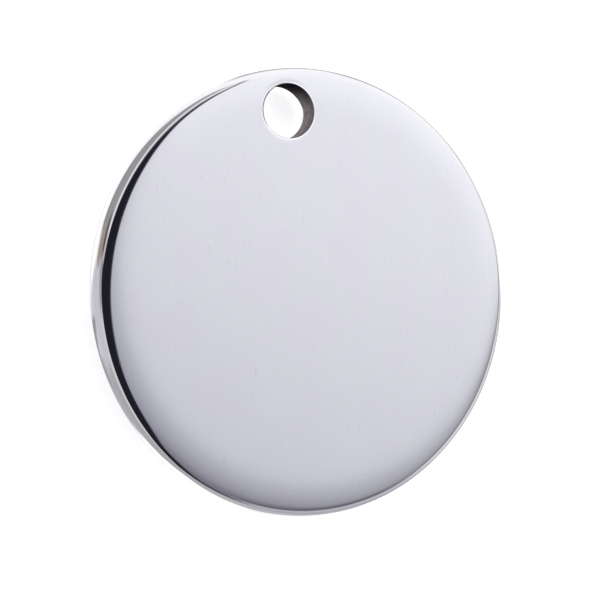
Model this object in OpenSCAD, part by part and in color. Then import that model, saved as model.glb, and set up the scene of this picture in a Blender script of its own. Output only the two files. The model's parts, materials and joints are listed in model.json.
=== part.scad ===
// Round tag pendant: one polished steel disc with a hole for a jump ring.
// It lies on its back face, which is at z = 0. The hole is toward +Y.
// Both faces are flat in the middle. Toward the rim, buffing has worn them to a shallow slope,
// which runs into a rounded corner and then into the short straight wall of the rim.

/* [Disc] */
// Diameter of the disc
disc_d = 25; // [20:0.5:40]
// Thickness of the disc in its flat middle
disc_t = 2; // [1.9:0.1:3]
// Radius of the rounded corner that runs round both faces
corner_r = 0.7; // [0.3:0.05:0.7]
// Width of the shallow slope just inside the rounded corner
slope_w = 1.4; // [0.8:0.1:1.6]
// Angle of that slope below the flat face
slope_angle = 4; // [2:0.5:5]

/* [Hole] */
// Diameter of the hole for the jump ring
hole_d = 3; // [2:0.1:4]
// Metal left between the hole and the rim
hole_margin = 0.95; // [0.9:0.05:3]
// Size of the bevel that breaks the hole's front edge
front_bevel = 0.1; // [0.1:0.05:0.3]
// Size of the wider bevel that breaks the hole's back edge
back_bevel = 0.4; // [0.1:0.05:0.4]

/* [Hidden] */

steel = [0.80, 0.80, 0.83];
arc_sides = 180;

disc_r = disc_d / 2;
middle_z = disc_t / 2;
corner_x = disc_r - corner_r;
flat_r = corner_x - slope_w;
// The slope falls from flat_r to the point where it meets the rounded corner with no crease
slope_end_x = corner_x + corner_r * sin(slope_angle);
slope_end_z = disc_t - (slope_end_x - flat_r) * tan(slope_angle);
corner_z = slope_end_z - corner_r * cos(slope_angle);

hole_r = hole_d / 2;
hole_y = disc_r - hole_margin - hole_r;
// How far the hole's cutter reaches past both faces
reach = 1;

// The rounded corner's part of the section: the sector between its wall and the slope
module corner_sector() {
    far = 2 * corner_r;
    slope_normal = 90 - slope_angle;
    intersection() {
        circle(r = corner_r, $fn = arc_sides);
        polygon([
            [0, 0],
            [far, 0],
            far * [cos(slope_normal), sin(slope_normal)]
        ]);
    }
}

// Upper half of the disc's section, from its axis to its rim
module half_section() {
    polygon([
        [0, middle_z],
        [disc_r, middle_z],
        [disc_r, corner_z],
        [corner_x, corner_z],
        [slope_end_x, slope_end_z],
        [flat_r, disc_t],
        [0, disc_t]
    ]);
    translate([corner_x, corner_z]) corner_sector();
}

// The lower half is the upper one turned over
module section() {
    half_section();
    translate([0, disc_t]) mirror([0, 1]) half_section();
}

// The hole's straight wall and its two bevels, each carried on past its face
module hole_cutter() {
    rotate_extrude($fn = arc_sides) polygon([
        [0, -reach],
        [hole_r + back_bevel + reach, -reach],
        [hole_r, back_bevel],
        [hole_r, disc_t - front_bevel],
        [hole_r + front_bevel + reach, disc_t + reach],
        [0, disc_t + reach]
    ]);
}

module tag_disc() {
    color(steel) difference() {
        rotate_extrude($fn = arc_sides) section();
        translate([0, hole_y, 0]) hole_cutter();
    }
}

tag_disc();
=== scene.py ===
# %% [markdown]
# A round tag pendant in polished steel
# The real one is a coin of 2 mm stainless sheet, stamped out, drilled near its edge for a jump ring
# and tumbled and buffed until it is a mirror. This lesson loads its exact working model, models a
# finer skin over it, gives the skin its polish, and lights it the way a jeweller lights a mirror.

# %% Load the exact model
import json
import math

import bmesh
import bpy
from mathutils import Matrix, Vector


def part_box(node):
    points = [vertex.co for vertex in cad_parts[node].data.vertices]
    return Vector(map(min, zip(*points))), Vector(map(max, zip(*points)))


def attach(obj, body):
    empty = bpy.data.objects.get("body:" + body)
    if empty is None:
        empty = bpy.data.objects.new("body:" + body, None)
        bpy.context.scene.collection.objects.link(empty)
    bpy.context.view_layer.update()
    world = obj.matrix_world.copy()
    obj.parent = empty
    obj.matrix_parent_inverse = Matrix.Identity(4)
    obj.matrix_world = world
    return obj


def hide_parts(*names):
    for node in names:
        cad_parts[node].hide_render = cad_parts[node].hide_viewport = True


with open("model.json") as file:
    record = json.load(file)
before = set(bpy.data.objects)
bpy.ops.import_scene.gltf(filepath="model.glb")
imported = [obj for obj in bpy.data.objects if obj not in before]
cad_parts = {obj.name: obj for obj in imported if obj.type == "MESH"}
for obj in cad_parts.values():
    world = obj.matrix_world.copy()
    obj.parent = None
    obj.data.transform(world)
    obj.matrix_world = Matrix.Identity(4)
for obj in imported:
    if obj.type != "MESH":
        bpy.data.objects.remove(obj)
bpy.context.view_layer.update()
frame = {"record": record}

MM = 0.001

# %% [markdown]
# Sizes
# Nothing is typed in twice: the disc's size is read from the exact model's box, and the hole's place and
# width from the mount that a jump ring goes through. Only what the box can't tell is given here: how round
# the corner of the rim is, and how far buffing has sloped the face.

# %% Read the sizes
disc_low, disc_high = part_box("tag_disc")
disc_radius = (disc_high.x - disc_low.x) / 2
thickness = disc_high.z - disc_low.z
middle = thickness / 2

ring_hole = next(mount for mount in frame["record"]["mounts"] if mount["name"] == "ring_hole")
hole_radius = ring_hole["dims"]["r_mm"] * MM
hole_y = ring_hole["pos_m"][1]
wall_half = ring_hole["dims"]["length_mm"] * MM / 2
front_mouth = thickness - (ring_hole["pos_m"][2] + wall_half)
back_mouth = ring_hole["pos_m"][2] - wall_half

print("disc radius", round(disc_radius / MM, 3), "mm, thickness", round(thickness / MM, 3), "mm")
print("hole radius", round(hole_radius / MM, 3), "mm, at y", round(hole_y / MM, 3), "mm")
print("rounded mouths of the hole:", round(front_mouth / MM, 3), round(back_mouth / MM, 3), "mm")

# %% Choose the soft edges
# The slope that buffing leaves begins at roll_start, measured from the middle of the disc. It leans by
# roll_end_tilt where the corner takes over, and a higher roll_power keeps it flat for longer.
corner_radius = 0.7 * MM
roll_start = 8.5 * MM
roll_end_tilt = math.radians(12)
roll_power = 5
print("corner", corner_radius / MM, "mm, slope from", roll_start / MM, "mm out")

# %% [markdown]
# The camera
# The tag lies on its back, so the camera looks down on it from a long lens, 65 degrees above the
# table, and is rolled so that the hole is at the top of the picture. A long lens from far away keeps
# the disc close to an even oval. Blender's camera looks along its own minus Z, so its three axes
# (right, up, backward) are written straight into its matrix. The picture is square, 600 by 600.

# %% Choose the camera
camera_azimuth = math.radians(-93)
camera_elevation = math.radians(65)
camera_roll = math.radians(-7)
camera_distance = 130 * MM
camera_target = Vector((0.20, -0.475, 0)) * MM

camera_data = bpy.data.cameras.new("camera")
camera_data.sensor_width = 36
camera_data.lens = 138.5
camera_data.clip_start = 5 * MM
camera_data.clip_end = 20000 * MM
camera = bpy.data.objects.new("camera", camera_data)
bpy.context.scene.collection.objects.link(camera)
bpy.context.scene.camera = camera

# %% Aim the camera
away = Vector((
    math.sin(camera_azimuth) * math.cos(camera_elevation),
    -math.cos(camera_azimuth) * math.cos(camera_elevation),
    math.sin(camera_elevation),
))
level_right = (-away).cross(Vector((0, 1, 0))).normalized()
level_up = level_right.cross(-away)
right = level_right * math.cos(camera_roll) + level_up * math.sin(camera_roll)
up = level_up * math.cos(camera_roll) - level_right * math.sin(camera_roll)
turn = Matrix((right, up, away)).transposed().to_4x4()
camera.matrix_world = Matrix.Translation(camera_target + away * camera_distance) @ turn
print("camera at, mm:", [round(c / MM, 1) for c in camera.matrix_world.translation])

# %% [markdown]
# The skin of the tag
# The exact model is right in size, but a mirror shows every facet, so the tag gets a finer mesh.
# It could be a cylinder with a bevel and a boolean hole, but a boolean leaves long thin triangles
# beside the hole that spoil a reflection. Instead one ring of edges starts in the hole and is
# extruded again and again, and resized and moved each time: up the wall of the hole, round its
# mouth, out across the face until it has grown to the size of the disc, and round the rim. Every
# face is a quad, and they all run from the hole to the rim. Buffing lowers the face toward the rim.
# A plain cone would show as a line in the reflection where it begins, so the skin curves gently.

# %% Roll-off of the face
corner_centre = disc_radius - corner_radius
roll_end = corner_centre + corner_radius * math.sin(roll_end_tilt)
roll_width = roll_end - roll_start
roll_drop = math.tan(roll_end_tilt) * roll_width / (roll_power + 1)


def face_drop(distance):
    """How far buffing has lowered the face at this distance from the middle of the disc."""
    share = min(max((distance - roll_start) / roll_width, 0), 1)
    return roll_drop * share ** (roll_power + 1)


print("the face has dropped", round(roll_drop / MM, 3), "mm where the corner of the rim begins")

# %% Extrude one ring of edges
AROUND = 256
MOUTH_STEPS = 8
FACE_STEPS = 80
CORNER_STEPS = 16


def next_ring(bm, ring, radius, centre_y, height):
    """Extrudes a ring of edges and moves the new ring to a circle of its own size and place."""
    made = bmesh.ops.extrude_edge_only(bm, edges=ring)["geom"]
    points = [item for item in made if isinstance(item, bmesh.types.BMVert)]
    middle_now = sum((point.co for point in points), Vector()) / len(points)
    radius_now = (points[0].co - middle_now).to_2d().length
    bmesh.ops.translate(bm, verts=points, vec=-middle_now)
    bmesh.ops.scale(bm, verts=points, vec=Vector((1, 1, 0)) * radius / radius_now)
    bmesh.ops.translate(bm, verts=points, vec=Vector((0, centre_y, height)))
    inner = set(points)
    edges = [item for item in made if isinstance(item, bmesh.types.BMEdge)]
    return [edge for edge in edges if inner.issuperset(edge.verts)]


print("rings to a side:", 2 + MOUTH_STEPS + FACE_STEPS + CORNER_STEPS, "of", AROUND, "faces each")


# %% Extrude one side of the tag from its hole
def side_of_tag(bm, mouth):
    """The upper half of the tag, from the hole's wall at half height to the rim at half height."""
    start = bmesh.ops.create_circle(
        bm, segments=AROUND, radius=hole_radius, matrix=Matrix.Translation((0, hole_y, middle)))
    points = start["verts"]
    ring = list({edge for point in points for edge in point.link_edges})
    ring = next_ring(bm, ring, hole_radius, hole_y, thickness - mouth)
    for step in range(1, MOUTH_STEPS + 1):
        angle = math.pi / 2 * step / MOUTH_STEPS
        radius = hole_radius + mouth * (1 - math.cos(angle))
        ring = next_ring(bm, ring, radius, hole_y, thickness - mouth * (1 - math.sin(angle)))
    for step in range(1, FACE_STEPS + 1):
        share = step / FACE_STEPS
        radius = hole_radius + mouth + (roll_end - hole_radius - mouth) * share
        ring = next_ring(bm, ring, radius, hole_y * (1 - share), thickness)
    for point in bm.verts:
        if point.co.z > middle:
            point.co.z -= face_drop(point.co.to_2d().length)
    corner_z = thickness - roll_drop - corner_radius * math.cos(roll_end_tilt)
    for step in range(1, CORNER_STEPS + 1):
        tilt = roll_end_tilt + (math.pi / 2 - roll_end_tilt) * step / CORNER_STEPS
        radius = corner_centre + corner_radius * math.sin(tilt)
        ring = next_ring(bm, ring, radius, 0, corner_z + corner_radius * math.cos(tilt))
    next_ring(bm, ring, disc_radius, 0, middle)


# %% Join the two sides
# Both sides are made as fronts, so the first is turned over to be the back.
MERGE_DISTANCE = 0.0001 * MM
tag_mesh = bmesh.new()
side_of_tag(tag_mesh, back_mouth)
bmesh.ops.scale(tag_mesh, verts=tag_mesh.verts, vec=(1, 1, -1))
bmesh.ops.translate(tag_mesh, verts=tag_mesh.verts, vec=(0, 0, thickness))
front = bmesh.new()
side_of_tag(front, front_mouth)
front_data = bpy.data.meshes.new("front_side")
front.to_mesh(front_data)
front.free()
tag_mesh.from_mesh(front_data)
bpy.data.meshes.remove(front_data)
bmesh.ops.remove_doubles(tag_mesh, verts=tag_mesh.verts, dist=MERGE_DISTANCE)
bmesh.ops.recalc_face_normals(tag_mesh, faces=tag_mesh.faces)
print("tag:", len(tag_mesh.faces), "faces, closed:", all(edge.is_manifold for edge in tag_mesh.edges))
print("volume, mm3:", round(tag_mesh.calc_volume() / MM ** 3, 1))

# %% Put the tag in the scene
tag_data = bpy.data.meshes.new("polished_tag")
tag_mesh.to_mesh(tag_data)
tag_mesh.free()
tag_data.shade_smooth()
tag = bpy.data.objects.new("polished_tag", tag_data)
bpy.context.scene.collection.objects.link(tag)
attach(tag, "root")
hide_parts("tag_disc")
print("tag:", tag.name, "rides on root and stands for tag_disc")

# %% [markdown]
# A helper for materials
# A material is a tree of small boxes. Adding a box, setting its choices and joining its sockets takes
# three or four lines each time, so one helper does it: each input is given either a plain value or
# the socket that feeds it. The small helpers after it stand for the sums used most. A mask is a
# number that is 1 where a thing is, 0 where it isn't, and in between at its soft edge.

# %% Add one node
def add_node(tree, kind, inputs, **choices):
    """Adds a node, sets its choices, and fills each named input with a value or a link."""
    node = tree.nodes.new(kind)
    for name, value in choices.items():
        setattr(node, name, value)
    for name, value in inputs.items():
        if isinstance(value, bpy.types.NodeSocket):
            tree.links.new(value, node.inputs[name])
        else:
            node.inputs[name].default_value = value
    return node


# %% Add the sums used most
def fade(tree, value, start, end):
    """0 at start, 1 at end, and a smooth way between them. The start may be above the end."""
    inputs = {"Value": value, "From Min": start, "From Max": end}
    return add_node(tree, "ShaderNodeMapRange", inputs, interpolation_type="SMOOTHSTEP").outputs["Result"]


def spread(tree, value, low, high):
    """Stretches a number that runs from 0 to 1 so that it runs from low to high."""
    inputs = {"Value": value, "To Min": low, "To Max": high}
    return add_node(tree, "ShaderNodeMapRange", inputs).outputs["Result"]


def combine(tree, operation, first, second):
    """One sum, product or the like of two numbers or sockets."""
    return add_node(tree, "ShaderNodeMath", {0: first, 1: second}, operation=operation).outputs["Value"]


def blend(tree, share, first, second):
    """A colour between two others, each a plain colour or a socket."""
    inputs = {"Factor": share}
    for name, colour in (("A", first), ("B", second)):
        inputs[name] = (*colour, 1) if isinstance(colour, tuple) else colour
    return add_node(tree, "ShaderNodeMix", inputs, data_type="RGBA").outputs["Result"]


# %% Find a place
def place_in_mm(tree):
    """The place on a piece, turned from metres into millimetres."""
    metres = add_node(tree, "ShaderNodeTexCoord", {}).outputs["Object"]
    inputs = {0: metres, "Scale": 1 / MM}
    return add_node(tree, "ShaderNodeVectorMath", inputs, operation="SCALE").outputs[0]


def length(tree, place):
    """How far a place is from the middle."""
    return add_node(tree, "ShaderNodeVectorMath", {0: place}, operation="LENGTH").outputs["Value"]


# %% [markdown]
# Where things are on the steel
# One material covers the whole tag, because it is one piece of steel. What differs from place to
# place is found from the place itself: the distance from the middle of the disc, the distance from
# the middle of the hole, and the height. Object coordinates are in metres here, so they are first
# turned into millimetres, and every number after that can be read as a size.

# %% Start the steel
steel = bpy.data.materials.new("polished_steel")
steel.use_nodes = True
steel_tree = steel.node_tree
steel_shader = steel_tree.nodes["Principled BSDF"]
steel_place = place_in_mm(steel_tree)
place_parts = add_node(steel_tree, "ShaderNodeSeparateXYZ", {0: steel_place})
hole_y_mm = hole_y / MM
hole_radius_mm = hole_radius / MM
print("steel reads its place in millimetres, with the hole at", round(hole_y_mm, 3))


# %% Measure and sprinkle the steel
def distance_from(x, y):
    """The distance in millimetres from an upright line through this point."""
    inputs = {0: steel_place, 1: (1, 1, 0), 2: (-x, -y, 0)}
    flat = add_node(steel_tree, "ShaderNodeVectorMath", inputs, operation="MULTIPLY_ADD").outputs[0]
    return length(steel_tree, flat)


def speckle(stretch, detail=2, kind="ShaderNodeTexNoise"):
    """A noise whose scale differs along X, Y and Z, in grains to the millimetre."""
    grains = {0: steel_place, 1: stretch}
    scaled = add_node(steel_tree, "ShaderNodeVectorMath", grains, operation="MULTIPLY").outputs[0]
    settings = {"Vector": scaled, "Scale": 1}
    if kind == "ShaderNodeTexNoise":
        settings["Detail"] = detail
    return add_node(steel_tree, kind, settings)


from_middle = distance_from(0, 0)
from_hole = distance_from(0, hole_y_mm)
print("steel:", len(steel_tree.nodes), "nodes find the place")

# %% [markdown]
# The drilled wall of the hole
# Nobody buffs the inside of a 3 mm hole, so its wall stays as the drill left it: dull, and ringed with fine
# marks that run round it. Its dark colour is painted shade, darkest toward the rim of the tag, and it comes
# out a few hundredths of a millimetre over the mouth. The last half millimetre at the back is bright again,
# where the wide bevel let the buffing wheel in. Round the front of the hole a thin, brighter ring is a
# painted highlight, and between the hole and the rim the steel is painted a little darker as shade.

# %% Sides of the hole
# Both directions run from -1 at one side of the hole to 1 at the other.
toward_right = combine(steel_tree, "DIVIDE", place_parts.outputs["X"], hole_radius_mm)
toward_rim = combine(steel_tree, "SUBTRACT", place_parts.outputs["Y"], hole_y_mm)
toward_rim = combine(steel_tree, "DIVIDE", toward_rim, hole_radius_mm)
on_right = fade(steel_tree, toward_right, -0.2, 0.6)
on_left = fade(steel_tree, toward_right, -0.3, -0.8)
on_left = combine(steel_tree, "MULTIPLY", on_left, fade(steel_tree, toward_rim, -0.7, -0.2))
print("steel:", len(steel_tree.nodes), "nodes, with the sides of the hole")

# %% Where the drilled wall is dark
# The painted shade stops a few hundredths of a millimetre past the hole's edge. It begins at a height above
# the back that is greater on the side toward the middle of the tag.
least_reach = 0.02
right_reach = 0.06
left_extra = 0.06
reach_softness = 0.015
dark_reach = spread(steel_tree, on_right, hole_radius_mm + least_reach, hole_radius_mm + right_reach)
dark_reach = combine(steel_tree, "ADD", dark_reach, spread(steel_tree, on_left, 0, left_extra))
past_edge = combine(steel_tree, "SUBTRACT", from_hole, dark_reach)
dark_inside = fade(steel_tree, past_edge, reach_softness, -reach_softness)
dark_from_middle_side = 0.66
dark_from_rim_side = 0.30
dark_from = spread(steel_tree, toward_rim, dark_from_middle_side, dark_from_rim_side)
wall_height = combine(steel_tree, "SUBTRACT", place_parts.outputs["Z"], dark_from)
dark_above = fade(steel_tree, wall_height, -0.03, 0.06)
drilled = combine(steel_tree, "MULTIPLY", dark_inside, dark_above)
print("dark past the edge, mm: right", right_reach, "left", round(least_reach + left_extra, 2))

# %% Colour of the drilled wall
drill_marks = speckle((0.6, 0.6, 9.0)).outputs["Fac"]
blotches = speckle((4.0, 4.0, 4.0)).outputs["Fac"]
# Painted shade: the wall is darkest toward the rim, and front_shade darkens it further near the front.
wall_shading = fade(steel_tree, toward_rim, 0.95, -0.1)
burnt_oil = (0.02, 0.018, 0.02)
bare_steel = (0.37, 0.335, 0.34)
wall_colour = blend(steel_tree, wall_shading, burnt_oil, bare_steel)
wall_light = spread(steel_tree, drill_marks, 0.55, 1.45)
wall_light = combine(steel_tree, "MULTIPLY", wall_light, spread(steel_tree, blotches, 0.5, 1.5))
front_shade = spread(steel_tree, fade(steel_tree, wall_height, 0.7, 1.2), 1, 0.75)
wall_light = combine(steel_tree, "MULTIPLY", wall_light, front_shade)
wall_colour = add_node(
    steel_tree, "ShaderNodeVectorMath", {0: wall_colour, "Scale": wall_light}, operation="SCALE").outputs[0]
print("wall of the hole: from", burnt_oil, "to", bare_steel)

# %% Painted highlight and painted shade round the hole
# A thin ring of painted highlight round the front of the hole, strongest on the right.
ring_from = hole_radius_mm + 0.06
ring_to = hole_radius_mm + 0.15
ring_inner = fade(steel_tree, from_hole, ring_from, ring_from + 0.02)
ring_outer = fade(steel_tree, from_hole, ring_to, ring_to - 0.05)
painted_highlight = combine(steel_tree, "MULTIPLY", ring_inner, ring_outer)
painted_highlight = combine(steel_tree, "MULTIPLY", painted_highlight, spread(steel_tree, on_right, 0.4, 1))
# Between the hole and the rim the steel is painted darker, as shade.
painted_top_shade_to = hole_radius_mm + 0.40
painted_top_shade = fade(steel_tree, from_hole, painted_top_shade_to, ring_to)
painted_top_shade = combine(steel_tree, "MULTIPLY", painted_top_shade, fade(steel_tree, toward_rim, 0.7, 1.1))
print("bright ring from", round(ring_from, 2), "to", round(ring_to, 2), "mm from the hole's middle")

# %% [markdown]
# Polish that has been handled
# Mirror steel is never quite clean. The photo shows a faint mottle, short fine marks that nearly all
# run one way, and a few specks. All are far less than a hundredth of a millimetre deep, so they
# belong in the material and not in the mesh: a bump for the marks and specks, and a little roughness
# for the haze. The rim has been rubbed more than the face, so it is hazier there.

# %% Mottle and haze
mottle = speckle((0.45, 0.30, 0.45), detail=3).outputs["Fac"]
haze = speckle((1.6, 0.9, 1.6), detail=4).outputs["Fac"]
print("steel:", len(steel_tree.nodes), "nodes, with mottle and haze")

# %% Marks, glints and buffing lines
# They are many times longer along Y than across it. The limit that their noise has to pass is lower in
# some patches than in others, so that they lie in clusters.
mark_edge = 0.05
mark_stretch = (7.0, 1.1, 1.0)
glint_stretch = (9.0, 1.7, 1.0)
buffing_stretch = (26.0, 0.7, 2.0)
mark_grain = speckle(mark_stretch, detail=1).outputs["Fac"]
mark_patch = speckle((0.35, 0.35, 0.35), detail=2).outputs["Fac"]
mark_limit = spread(steel_tree, mark_patch, 0.80, 0.60)
marks = combine(steel_tree, "SUBTRACT", mark_grain, mark_limit)
marks = fade(steel_tree, marks, 0.0, mark_edge)
glint_grain = speckle(glint_stretch, detail=1).outputs["Fac"]
glints = combine(steel_tree, "SUBTRACT", glint_grain, mark_limit)
glints = fade(steel_tree, glints, 0.0, mark_edge)
buffing = speckle(buffing_stretch, detail=2).outputs["Fac"]
print("marks are", round(mark_stretch[0] / mark_stretch[1], 1), "times as long as wide")

# %% Specks and wear
# Each cell of the pattern may hold one speck. Its chance decides its size, and most get none.
speck_cells = speckle((1.3, 1.3, 1.3), kind="ShaderNodeTexVoronoi")
speck_chance = add_node(steel_tree, "ShaderNodeSeparateColor", {0: speck_cells.outputs["Color"]}).outputs[0]
speck_radius = 0.055
speck_size = spread(steel_tree, speck_chance, -0.16, speck_radius)
specks = combine(steel_tree, "SUBTRACT", speck_size, speck_cells.outputs["Distance"])
specks = fade(steel_tree, specks, 0.0, 0.03)
wear_starts = 11.6
wear_full = 12.4
edge_wear = fade(steel_tree, from_middle, wear_starts, wear_full)
print("the rim is hazier from", wear_starts, "mm out")

# %% [markdown]
# From masks to the finish
# All the masks meet on one shader. Polished steel is a metal, and its colour is what it does to the
# light that it reflects: a pale grey, a little cool. One plain grey with a low roughness would look
# like new chrome, so each mask lays a thin coat of its own colour, adds its own roughness and cuts its
# own depth. The specular level is 0, so that only the metal reflects and the drilled wall stays dull.

# %% Colour of the steel
# Each coat lies over those before it, as strong as its share where its mask is 1.
steel_colour = blend(steel_tree, mottle, (0.61, 0.60, 0.62), (0.63, 0.63, 0.64))
steel_coats = [
    {"name": "marks", "mask": marks, "share": 0.12, "colour": (0.36, 0.36, 0.38)},
    {"name": "glints", "mask": glints, "share": 0.14, "colour": (0.85, 0.85, 0.87)},
    {"name": "specks", "mask": specks, "share": 0.45, "colour": (0.30, 0.29, 0.30)},
    # Painted shade above the hole, toward the rim.
    {"name": "rubbed place", "mask": painted_top_shade, "share": 0.8, "colour": (0.49, 0.475, 0.48)},
    # A painted highlight round the front of the hole.
    {"name": "burnished ring", "mask": painted_highlight, "share": 1, "colour": (0.93, 0.93, 0.94)},
    # The drilled wall's colour is painted shade.
    {"name": "drilled wall", "mask": drilled, "share": 1, "colour": wall_colour},
]
for coat in steel_coats:
    coat_mask = spread(steel_tree, coat["mask"], 0, coat["share"])
    steel_colour = blend(steel_tree, coat_mask, steel_colour, coat["colour"])
    steel_colour.node.label = coat["name"]
steel_tree.links.new(steel_colour, steel_shader.inputs["Base Color"])
print("steel:", len(steel_coats), "coats of colour")

# %% Metal and roughness
# The drilled wall, painted dark as shade, isn't metal. Everything that dulls the polish adds its own
# roughness.
steel_tree.links.new(spread(steel_tree, drilled, 1, 0), steel_shader.inputs["Metallic"])
steel_shader.inputs["Specular IOR Level"].default_value = 0
clear_polish = 0.035
hazy_polish = 0.075
roughness = spread(steel_tree, haze, clear_polish, hazy_polish)
for mask, added in ((marks, 0.06), (edge_wear, 0.02), (specks, 0.25), (drilled, 0.42)):
    roughness = combine(steel_tree, "ADD", roughness, spread(steel_tree, mask, 0, added))
steel_tree.links.new(roughness, steel_shader.inputs["Roughness"])
print("steel: roughness from", clear_polish, "to", hazy_polish, "on the clean face")

# %% Depth of the marks
# One mark of the polish is the unit, and the other depths are told in marks.
mark_depth = 0.00025 * MM
buffing_depth = 0.10
speck_depth = 4
drill_depth = 60
relief = combine(steel_tree, "MULTIPLY", buffing, buffing_depth)
relief = combine(steel_tree, "SUBTRACT", relief, marks)
relief = combine(steel_tree, "SUBTRACT", relief, combine(steel_tree, "MULTIPLY", specks, speck_depth))
drill_relief = combine(steel_tree, "MULTIPLY", drilled, drill_depth)
relief = combine(steel_tree, "ADD", relief, combine(steel_tree, "MULTIPLY", drill_marks, drill_relief))
bump = add_node(steel_tree, "ShaderNodeBump", {"Height": relief, "Distance": mark_depth, "Strength": 1})
steel_tree.links.new(bump.outputs["Normal"], steel_shader.inputs["Normal"])
tag_data.materials.append(steel)
print("steel:", len(steel_tree.nodes), "nodes")

# %% [markdown]
# A studio for a mirror
# A mirror has no look of its own: it shows what stands round it. So the studio is built as a
# jeweller builds one, out of cards: a large soft light to the right, a grey wall in front, a black
# flag overhead and to the left, which draws the dark band along the rim, a lit table with a dark
# line above it, which draws the thin line just inside the right edge, and small light and dark cards
# low down on the left. Real cards could be modelled as glowing planes, but the world's shader can
# paint them with soft edges at no cost. Each edge of a card is a plane through the tag: the dot
# product of a direction with the plane's normal tells which side of the plane it is on.

# %% Cut and lay a card
def card_edge(tree, place, bearing, height, offset, softness):
    """A mask with one straight soft edge. The bearing and height are where its lit side points."""
    across = math.cos(math.radians(height))
    toward = (
        across * math.cos(math.radians(bearing)),
        across * math.sin(math.radians(bearing)),
        math.sin(math.radians(height)),
    )
    dot = add_node(tree, "ShaderNodeVectorMath", {0: place, 1: toward}, operation="DOT_PRODUCT")
    return fade(tree, dot.outputs["Value"], offset - softness, offset + softness)


def lay_cards(tree, place, ground, cards):
    """Lays each card over what is there already, inside all of its edges."""
    seen = ground
    for card in cards:
        mask = None
        for edge in card["edges"]:
            cut = card_edge(tree, place, *edge)
            mask = cut if mask is None else combine(tree, "MULTIPLY", mask, cut)
        seen = blend(tree, mask, seen, card["colour"])
        seen.node.label = card["name"]
    return seen


# %% Cards of the sky
# Each edge is a bearing and a height in degrees, an offset and a softness.
flag_side = (156, 13, 0.20, 0.015)
strip_side = (115, -35, 0.08, 0.02)
side_top = (115, -35, 0.31, 0.12)
white_top = (151, -55, 0, 0.02)
white_end = (250, 0, 0, 0.03)
sky_cards = [
    {"name": "foot of the wall", "colour": (0.23, 0.23, 0.26), "edges": [(0, -90, -0.66, 0.47)]},
    {"name": "rim of the soft light", "colour": (1.24, 1.22, 1.33), "edges": [(32, 47, 0.9, 0.1)]},
    {"name": "soft light", "colour": (1.42, 1.44, 1.52), "edges": [(50, 9, 0.41, 0.68)]},
    {"name": "foot of the soft light", "colour": (1.5, 1.49, 1.53), "edges": [(40, -20, 0.55, 0.35)]},
    {"name": "shade above the table", "colour": (0.33, 0.33, 0.36),
     "edges": [(0, -90, -0.62, 0.22), (30, 0, 0, 0.2), (260, 0, 0, 0.12)]},
    {"name": "lit table", "colour": (0.72, 0.70, 0.78),
     "edges": [(0, -90, -0.28, 0.14), (290, 0, 0.5, 0.15)]},
    {"name": "lit table at the right", "colour": (1.15, 1.14, 1.18),
     "edges": [(0, -90, -0.30, 0.12), (48, 0, 0, 0.12), (282, 0, 0, 0.1)]},
    {"name": "dark line above the table", "colour": (0.20, 0.19, 0.22),
     "edges": [(0, 90, 0.34, 0.08), (0, -90, -0.56, 0.08), (0, 0, 0, 0.1), (225, 0, 0, 0.1)]},
    {"name": "dark line at the right", "colour": (0.42, 0.41, 0.44),
     "edges": [(0, 90, 0.38, 0.06), (0, -90, -0.58, 0.06), (45, 0, 0, 0.1), (259, 0, 0, 0.05)]},
    {"name": "falling end of the dark line", "colour": (0.50, 0.49, 0.51),
     "edges": [(92, 26, -0.09, 0.04), (272, -26, -0.05, 0.04), (75, 0, 0, 0.04)]},
    {"name": "dark corner", "colour": (0.08, 0.08, 0.10), "edges": [(255, 4, 0.975, 0.02)]},
    {"name": "black flag", "colour": (0.02, 0.02, 0.03), "edges": [flag_side, (149, 9, 0.13, 0.04)]},
    {"name": "grey end of the flag", "colour": (0.20, 0.20, 0.21),
     "edges": [flag_side, (90, 0, 0.53, 0.08)]},
    {"name": "foot of the flag", "colour": (0.02, 0.02, 0.03),
     "edges": [(171, -25, 0.05, 0.08), (250, 0, 0, 0.05)]},
    {"name": "bright strip", "colour": (1.2, 1.18, 1.24),
     "edges": [strip_side, (164, 0, 0, 0.04), (60, 0, 0, 0.03)]},
    {"name": "dull end of the strip", "colour": (0.88, 0.80, 0.84),
     "edges": [strip_side, (238, 0, 0, 0.04), (70, 0, 0, 0.03)]},
    {"name": "side card", "colour": (0.49, 0.475, 0.49), "edges": [side_top, (170, 0, 0, 0.06)]},
    {"name": "low light", "colour": (1.5, 1.5, 1.52), "edges": [(19.5, -51, 0, 0.05), (150, 0, 0, 0.1)]},
    {"name": "tan end of the side card", "colour": (0.52, 0.43, 0.37),
     "edges": [side_top, (237, 0, 0, 0.03), (70, 0, 0, 0.03)]},
    {"name": "dark bar", "colour": (0.14, 0.12, 0.13),
     "edges": [(233, 0, 0, 0.05), (67, 0, 0, 0.04), (0, 90, 0.22, 0.06), (0, -90, -0.48, 0.05)]},
    {"name": "white card", "colour": (0.85, 0.86, 0.91), "edges": [white_top, white_end]},
    {"name": "shaded top of the white card", "colour": (0.50, 0.49, 0.52),
     "edges": [white_top, white_end, (0, 90, 0.22, 0.1), (88, 0, 0, 0.08)]},
    {"name": "far end of the white card", "colour": (0.60, 0.59, 0.62),
     "edges": [white_top, (300, 0, 0, 0.2)]},
    {"name": "lip of the white card", "colour": (0.97, 0.97, 1.02),
     "edges": [white_top, (331, 55, -0.24, 0.04), (271, 0, 0, 0.05)]},
]
print("sky:", len(sky_cards), "cards, the last is the", sky_cards[-1]["name"])

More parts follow.
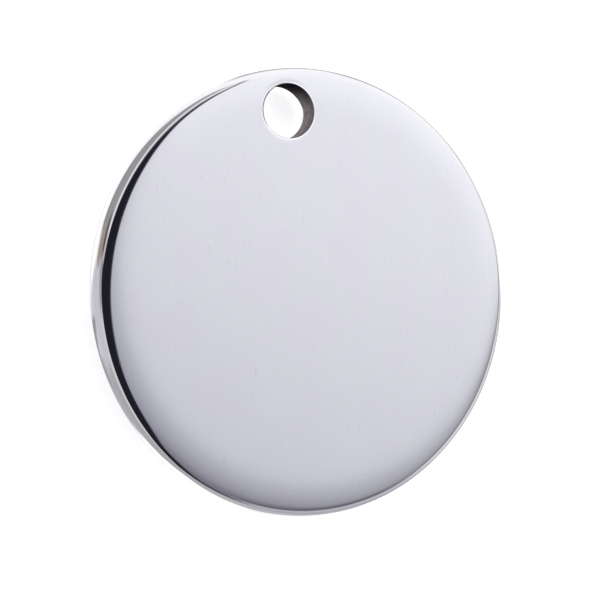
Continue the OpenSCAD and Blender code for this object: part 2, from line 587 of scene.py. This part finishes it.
# %% Paint the sky
OPEN_SKY = (0.41, 0.41, 0.49)
world = bpy.data.worlds.new("studio")
world.use_nodes = True
bpy.context.scene.world = world
bpy.context.scene.view_settings.view_transform = "Standard"
sky_tree = world.node_tree
sky_direction = add_node(sky_tree, "ShaderNodeTexCoord", {}).outputs["Generated"]
sky = lay_cards(sky_tree, sky_direction, OPEN_SKY, sky_cards)
sky_tree.links.new(sky, sky_tree.nodes["Background"].inputs["Color"])
print("sky:", len(sky_tree.nodes), "nodes")

# %% [markdown]
# The floor, and the paper that the rim sees
# The photograph shows nothing but white round the tag, so the floor is white paper, lit from below so
# that it stays white. Further off it falls to a pale grey, so that a low camera sees the white faces
# of the mirror against something darker. The rim is a mirror too and shows the paper right beside
# the tag, and that paper isn't evenly white. So a second sheet, which only reflections see, carries
# the patches that show in the rim. It is made of the same cards as the sky, but laid flat: the
# offset and softness of each edge are distances in millimetres from the middle of the tag. Under the
# rounded foot of the rim no light gets in, so the paper is dark there. Each sheet is hidden from the
# rays that it isn't meant for.

# %% Make a sheet and its paper
STUDIO_REACH = 1500 * MM


def flat_sheet(name, height):
    """A square sheet lying level, as part of the studio and not of the tag."""
    sheet_mesh = bmesh.new()
    place = Matrix.Translation((0, 0, height))
    bmesh.ops.create_grid(sheet_mesh, x_segments=1, y_segments=1, size=STUDIO_REACH, matrix=place)
    sheet_data = bpy.data.meshes.new(name)
    sheet_mesh.to_mesh(sheet_data)
    sheet_mesh.free()
    sheet = bpy.data.objects.new(name, sheet_data)
    bpy.context.scene.collection.objects.link(sheet)
    return sheet


def glow_material(name, strength, paint=0):
    """Paper lit from behind: it glows, and with some paint it also shows shadows."""
    material = bpy.data.materials.new(name)
    material.use_nodes = True
    shader = material.node_tree.nodes["Principled BSDF"]
    shader.inputs["Base Color"].default_value = (paint, paint, paint, 1)
    shader.inputs["Roughness"].default_value = 1
    shader.inputs["Specular IOR Level"].default_value = 0
    shader.inputs["Emission Color"].default_value = (1, 1, 1, 1)
    shader.inputs["Emission Strength"].default_value = strength
    return material


# %% Lay the floor
# Near the tag the paper is white and takes a little shadow. Far off it only glows, as the backdrop does.
FLOOR_GLOW = 0.72
FLOOR_PAINT = 0.95
BACKDROP_GLOW = 0.78
white_until = 28
grey_from = 60
floor_paper = glow_material("floor_paper", FLOOR_GLOW, FLOOR_PAINT)
floor_tree = floor_paper.node_tree
floor_shader = floor_tree.nodes["Principled BSDF"]
far_away = fade(floor_tree, length(floor_tree, place_in_mm(floor_tree)), white_until, grey_from)
near_paint = (FLOOR_PAINT, FLOOR_PAINT, FLOOR_PAINT)
floor_tree.links.new(blend(floor_tree, far_away, near_paint, (0, 0, 0)), floor_shader.inputs["Base Color"])
floor_glow = spread(floor_tree, far_away, FLOOR_GLOW, BACKDROP_GLOW)
floor_tree.links.new(floor_glow, floor_shader.inputs["Emission Strength"])
floor = flat_sheet("floor", -0.02 * MM)
floor.data.materials.append(floor_paper)
floor.visible_glossy = False
print("floor: white for", white_until, "mm round the tag, grey from", grey_from, "mm")

# %% Patches of the reflected paper
# Each edge is a bearing and a height in degrees, an offset and a softness in millimetres.
WHITE_PAPER = (1.5, 1.5, 1.53)
upper_left = [(186, 0, 9.65, 1), (70, 0, 0.9, 0.9)]
paper_cards = [
    {"name": "shadow beside the right", "colour": (0.80, 0.80, 0.81),
     "edges": [(195, 0, -26, 4), (15, 0, 14.5, 0.8), (90, 0, 0.5, 1.5), (270, 0, -9, 2)]},
    {"name": "shadow beside the upper right", "colour": (0.60, 0.60, 0.61),
     "edges": [(222, 0, -15.8, 0.8), (0, 0, 6, 0.5), (90, 0, 6.5, 0.5)]},
    {"name": "shadow beside the top", "colour": (0.70, 0.70, 0.71),
     "edges": [(260, 0, -14.8, 0.6), (0, 0, -2.5, 1), (180, 0, -6.5, 0.5), (80, 0, 12, 0.2)]},
    {"name": "grey below", "colour": (0.74, 0.74, 0.80),
     "edges": [(270, 0, 11.9, 0.3), (0, 0, -5, 1)]},
    {"name": "grey beyond the lower left", "colour": (0.72, 0.72, 0.75),
     "edges": [(258, 0, 12.45, 0.15)]},
    {"name": "grey beyond the left", "colour": (0.62, 0.61, 0.64),
     "edges": [(201, 0, 12.55, 0.15)]},
    {"name": "grey far below", "colour": (0.72, 0.70, 0.78),
     "edges": [(270, 0, 22, 5), (330, 0, -2, 3)]},
    {"name": "light grey beyond the lower right", "colour": (0.85, 0.85, 0.88),
     "edges": [(330, 0, 13.5, 0.4), (264, 0, 0.4, 1.2)]},
    {"name": "grey beyond the lower right", "colour": (0.60, 0.59, 0.64),
     "edges": [(300, 0, 13.5, 0.4), (264, 0, 0.4, 1.2), (180, 0, -9, 2)]},
    {"name": "grey beyond the upper left", "colour": (0.48, 0.46, 0.47),
     "edges": [(166, 0, 13.8, 0.7), *upper_left]},
    {"name": "line beyond the upper left", "colour": (0.36, 0.35, 0.36),
     "edges": [(166, 0, 13.7, 0.3), (346, 0, -14.9, 0.5), *upper_left]},
    {"name": "tan beyond it", "colour": (0.54, 0.45, 0.39),
     "edges": [(166, 0, 14.4, 1.3), (240, 0, 1.5, 0.8), (90, 0, 1, 1)]},
    {"name": "light grey on the left", "colour": (0.86, 0.86, 0.92),
     "edges": [(180, 0, 12.7, 0.1), (253, 0, 0.7, 0.5), (105, 0, 0.2, 1)]},
    {"name": "shadow at the left edge", "colour": (0.45, 0.45, 0.48),
     "edges": [(180, 0, 12, 0.5), (11, 0, -12.8, 0.06), (90, 0, -3.9, 0.3), (270, 0, -0.1, 0.3)]},
]
print("paper:", len(paper_cards), "patches, the last is the", paper_cards[-1]["name"])

# %% Lay the sheet that reflections see
# The dark ring starts where the foot of the rim bends up from the paper and ends at the widest place.
FOOT_SHADE = (0.25, 0.25, 0.26)
rim_mm = disc_radius / MM
foot_mm = corner_centre / MM
bounce_paper = glow_material("bounce_paper", 1)
paper_tree = bounce_paper.node_tree
paper_place = place_in_mm(paper_tree)
paper_distance = length(paper_tree, paper_place)
paper = lay_cards(paper_tree, paper_place, WHITE_PAPER, paper_cards)
inside_rim = fade(paper_tree, paper_distance, rim_mm + 0.10, rim_mm - 0.05)
outside_foot = fade(paper_tree, paper_distance, foot_mm - 0.2, foot_mm)
under_rim = combine(paper_tree, "MULTIPLY", inside_rim, outside_foot)
paper = blend(paper_tree, under_rim, paper, FOOT_SHADE)
paper_tree.links.new(paper, paper_tree.nodes["Principled BSDF"].inputs["Emission Color"])
bounce = flat_sheet("bounce_sheet", -0.01 * MM)
bounce.data.materials.append(bounce_paper)
bounce.visible_camera = False
bounce.visible_diffuse = False
bounce.visible_shadow = False
print("paper:", len(paper_tree.nodes), "nodes, dark from", round(foot_mm, 2), "mm out")

# %% [markdown]
# The backdrop
# The cards must not show behind the tag when a camera looks at it from low down. So a large pale
# dome stands round everything, in the tone of the far floor. It could be a curved sheet, but a dome
# does for every side. Only cameras see it, and reflections pass through it to the cards.

# %% Backdrop
BACKDROP_RADIUS = 1200 * MM
backdrop_mesh = bmesh.new()
bmesh.ops.create_uvsphere(backdrop_mesh, u_segments=48, v_segments=24, radius=BACKDROP_RADIUS)
backdrop_data = bpy.data.meshes.new("backdrop")
backdrop_mesh.to_mesh(backdrop_data)
backdrop_mesh.free()
backdrop = bpy.data.objects.new("backdrop", backdrop_data)
bpy.context.scene.collection.objects.link(backdrop)
backdrop_data.materials.append(glow_material("backdrop_paper", BACKDROP_GLOW))
backdrop.visible_diffuse = False
backdrop.visible_glossy = False
backdrop.visible_transmission = False
backdrop.visible_shadow = False
print("backdrop:", BACKDROP_RADIUS, "m in radius")
